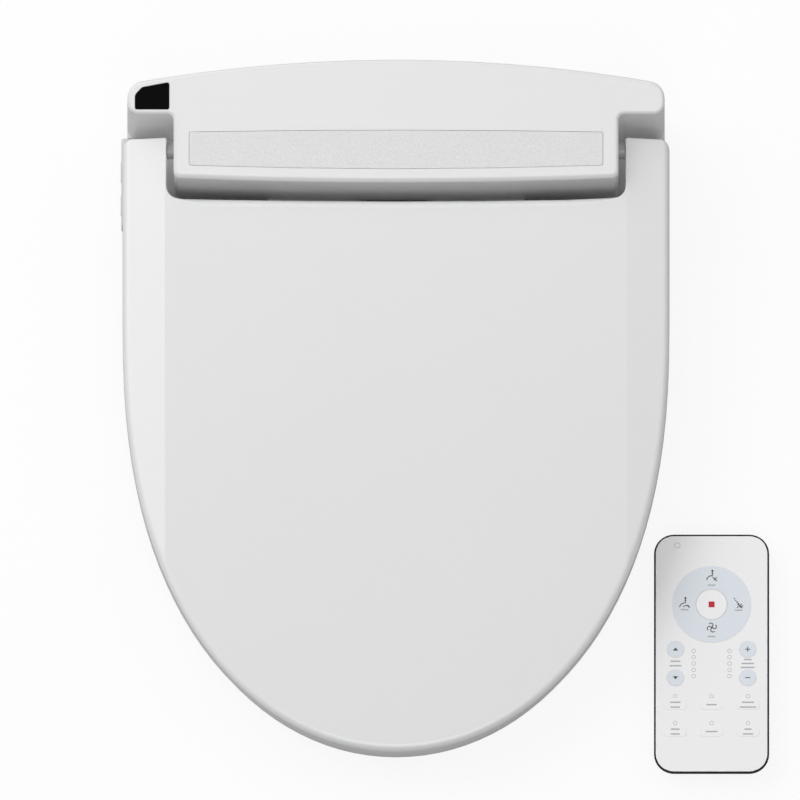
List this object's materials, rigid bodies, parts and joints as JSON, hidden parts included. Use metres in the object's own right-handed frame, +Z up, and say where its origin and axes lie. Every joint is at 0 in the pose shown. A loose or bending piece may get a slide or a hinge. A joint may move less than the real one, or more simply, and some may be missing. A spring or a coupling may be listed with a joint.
{
  "type": "electric bidet seat",
  "caption": "Electric bidet seat: rear housing with washing nozzles and dryer, heated seat ring, hinged lid, and a loose remote control.",
  "frame": {"origin": "midway between the two bowl bolts, on the top of the bowl's rim", "axes": "+X across the seat, +Y back towards the wall, +Z up"},
  "size_m": [0.4562, 0.492, 0.1205],
  "materials": {
    "case_white": "glossy moulded white",
    "lid_white": "glossy moulded white",
    "seat_white": "glossy moulded white",
    "trim_silver": "pale silver, lightly speckled",
    "window_black": "smoked, glossy",
    "plate_grey": "satin moulded",
    "rubber_grey": "soft rubber",
    "steel": "zinc plated",
    "shaft_white": "moulded over a steel core",
    "button_grey": "satin",
    "damper_grey": "satin",
    "fitting_metal": "nickel plated",
    "valve_grey": "satin",
    "tank_plastic": "translucent heat-proof plastic",
    "hose_plastic": "milky hose",
    "nozzle_white": "glossy",
    "gear_plastic": "acetal",
    "flap_grey": "satin",
    "board_green": "lacquered board",
    "gland_rubber": "soft rubber",
    "heater_film": "polyimide film",
    "remote_black": "glossy black",
    "remote_white": "satin white",
    "key_blue": "satin pale blue-grey",
    "light_lens": "frosted lens with a grey rim",
    "cell_sleeve": "printed sleeve"
  },
  "bodies": {
    "housing": {"mounting_plate": "plate_grey", "bolt_bushings": "rubber_grey", "base_case": "case_white", "base_feet": "rubber_grey", "case_screws": "steel", "top_case": "case_white", "trim_plate": "trim_silver", "receiver_window": "window_black", "side_panel": "case_white", "hinge_dampers": "damper_grey", "inlet_fitting": "fitting_metal", "inlet_valve": "valve_grey", "heater_tank": "tank_plastic", "flow_valve": "valve_grey", "water_hoses": "hose_plastic", "nozzle_cradle": "valve_grey", "nozzle_motors": "steel", "blower_housing": "damper_grey", "blower_motor": "steel", "main_board": "board_green", "cord_gland": "gland_rubber"},
    "seat": {"seat_top": "seat_white", "seat_bottom": "seat_white", "seat_heater": "heater_film", "seat_bumpers": "rubber_grey", "seat_shaft": "shaft_white"},
    "lid": {"lid_shell": "lid_white", "lid_bumpers": "rubber_grey", "lid_shaft": "shaft_white"},
    "rear_nozzle": {"rear_nozzle": "nozzle_white"},
    "front_nozzle": {"front_nozzle": "nozzle_white"},
    "rear_pinion": {"rear_pinion": "gear_plastic"},
    "front_pinion": {"front_pinion": "gear_plastic"},
    "impeller": {"impeller": "damper_grey"},
    "dryer_flap": {"dryer_flap": "flap_grey"},
    "side_button_front": {"side_button_front": "button_grey"},
    "side_button_rear": {"side_button_rear": "button_grey"},
    "release_button": {"release_button": "button_grey"},
    "remote": {"remote_case": "remote_black", "remote_front": "remote_white", "remote_board": "board_green", "remote_cells": "cell_sleeve", "cell_contacts": "steel", "indicator_lights": "light_lens"},
    "battery_door": {"battery_door": "remote_black"},
    "stop_key": {"stop_key": "remote_white"},
    "ring_key_top": {"ring_key_top": "key_blue"},
    "ring_key_left": {"ring_key_left": "key_blue"},
    "ring_key_right": {"ring_key_right": "key_blue"},
    "ring_key_bottom": {"ring_key_bottom": "key_blue"},
    "round_key_up": {"round_key_up": "key_blue"},
    "round_key_down": {"round_key_down": "key_blue"},
    "round_key_plus": {"round_key_plus": "key_blue"},
    "round_key_minus": {"round_key_minus": "key_blue"},
    "pad_1": {"pad_1": "remote_white"},
    "pad_2": {"pad_2": "remote_white"},
    "pad_3": {"pad_3": "remote_white"},
    "pad_4": {"pad_4": "remote_white"},
    "pad_5": {"pad_5": "remote_white"},
    "pad_6": {"pad_6": "remote_white"}
  },
  "joints": [
    {"name": "seat_hinge", "type": "hinge", "parent": "housing", "child": "seat", "pos_m": [0, 0, 0.075], "axis": [-1, 0, 0], "range_deg": [0, 96]},
    {"name": "lid_hinge", "type": "hinge", "parent": "seat", "child": "lid", "pos_m": [0, 0, 0.075], "axis": [1, 0, 0], "range_deg": [-98, 0]},
    {"name": "rear_nozzle_slide", "type": "slide", "parent": "housing", "child": "rear_nozzle", "axis": [0, -0.8192, -0.5736], "range_m": [0, 0.065]},
    {"name": "rear_pinion_turn", "type": "hinge", "parent": "housing", "child": "rear_pinion", "pos_m": [-0.009, -0.01725, 0.04659], "axis": [-1, 0, 0], "range_deg": [0, 744.8]},
    {"name": "front_nozzle_slide", "type": "slide", "parent": "housing", "child": "front_nozzle", "axis": [0, -0.8192, -0.5736], "range_m": [0, 0.065]},
    {"name": "front_pinion_turn", "type": "hinge", "parent": "housing", "child": "front_pinion", "pos_m": [0.009, -0.01725, 0.04659], "axis": [-1, 0, 0], "range_deg": [0, 744.8]},
    {"name": "impeller_spin", "type": "hinge", "parent": "housing", "child": "impeller", "pos_m": [0.073, 0.014, 0.0425], "axis": [1, 0, 0], "continuous": true},
    {"name": "dryer_flap_hinge", "type": "hinge", "parent": "housing", "child": "dryer_flap", "pos_m": [0.067, -0.0576, 0.0205], "axis": [-1, 0, 0], "range_deg": [0, 60]},
    {"name": "side_button_front_push", "type": "slide", "parent": "housing", "child": "side_button_front", "axis": [1, 0, 0], "range_m": [0, 0.001], "stiffness_N_per_m": 500, "springref_m": -0.0005},
    {"name": "side_button_rear_push", "type": "slide", "parent": "housing", "child": "side_button_rear", "axis": [1, 0, 0], "range_m": [0, 0.001], "stiffness_N_per_m": 500, "springref_m": -0.0005},
    {"name": "release_button_push", "type": "slide", "parent": "housing", "child": "release_button", "axis": [-1, 0, 0], "range_m": [0, 0.003], "stiffness_N_per_m": 400, "springref_m": -0.001},
    {"name": "remote_lift", "type": "slide", "parent": "housing", "child": "remote", "axis": [0, 0, 1], "range_m": [0, 0.15]},
    {"name": "battery_door_slide", "type": "slide", "parent": "remote", "child": "battery_door", "axis": [0, -1, 0], "range_m": [0, 0.03]},
    {"name": "stop_key_press", "type": "slide", "parent": "remote", "child": "stop_key", "axis": [0, 0, -1], "range_m": [0, 0.0005], "stiffness_N_per_m": 500, "springref_m": -0.0003},
    {"name": "ring_key_top_press", "type": "slide", "parent": "remote", "child": "ring_key_top", "axis": [0, 0, -1], "range_m": [0, 0.0005], "stiffness_N_per_m": 500, "springref_m": -0.0003},
    {"name": "ring_key_left_press", "type": "slide", "parent": "remote", "child": "ring_key_left", "axis": [0, 0, -1], "range_m": [0, 0.0005], "stiffness_N_per_m": 500, "springref_m": -0.0003},
    {"name": "ring_key_right_press", "type": "slide", "parent": "remote", "child": "ring_key_right", "axis": [0, 0, -1], "range_m": [0, 0.0005], "stiffness_N_per_m": 500, "springref_m": -0.0003},
    {"name": "ring_key_bottom_press", "type": "slide", "parent": "remote", "child": "ring_key_bottom", "axis": [0, 0, -1], "range_m": [0, 0.0005], "stiffness_N_per_m": 500, "springref_m": -0.0003},
    {"name": "round_key_up_press", "type": "slide", "parent": "remote", "child": "round_key_up", "axis": [0, 0, -1], "range_m": [0, 0.0005], "stiffness_N_per_m": 500, "springref_m": -0.0003},
    {"name": "round_key_down_press", "type": "slide", "parent": "remote", "child": "round_key_down", "axis": [0, 0, -1], "range_m": [0, 0.0005], "stiffness_N_per_m": 500, "springref_m": -0.0003},
    {"name": "round_key_plus_press", "type": "slide", "parent": "remote", "child": "round_key_plus", "axis": [0, 0, -1], "range_m": [0, 0.0005], "stiffness_N_per_m": 500, "springref_m": -0.0003},
    {"name": "round_key_minus_press", "type": "slide", "parent": "remote", "child": "round_key_minus", "axis": [0, 0, -1], "range_m": [0, 0.0005], "stiffness_N_per_m": 500, "springref_m": -0.0003},
    {"name": "pad_1_press", "type": "slide", "parent": "remote", "child": "pad_1", "axis": [0, 0, -1], "range_m": [0, 0.0005], "stiffness_N_per_m": 500, "springref_m": -0.0003},
    {"name": "pad_2_press", "type": "slide", "parent": "remote", "child": "pad_2", "axis": [0, 0, -1], "range_m": [0, 0.0005], "stiffness_N_per_m": 500, "springref_m": -0.0003},
    {"name": "pad_3_press", "type": "slide", "parent": "remote", "child": "pad_3", "axis": [0, 0, -1], "range_m": [0, 0.0005], "stiffness_N_per_m": 500, "springref_m": -0.0003},
    {"name": "pad_4_press", "type": "slide", "parent": "remote", "child": "pad_4", "axis": [0, 0, -1], "range_m": [0, 0.0005], "stiffness_N_per_m": 500, "springref_m": -0.0003},
    {"name": "pad_5_press", "type": "slide", "parent": "remote", "child": "pad_5", "axis": [0, 0, -1], "range_m": [0, 0.0005], "stiffness_N_per_m": 500, "springref_m": -0.0003},
    {"name": "pad_6_press", "type": "slide", "parent": "remote", "child": "pad_6", "axis": [0, 0, -1], "range_m": [0, 0.0005], "stiffness_N_per_m": 500, "springref_m": -0.0003}
  ],
  "couplings": [
    {"joint": "rear_pinion_turn", "follows": "rear_nozzle_slide", "rad_per_m": 200},
    {"joint": "front_pinion_turn", "follows": "front_nozzle_slide", "rad_per_m": 200}
  ]
}
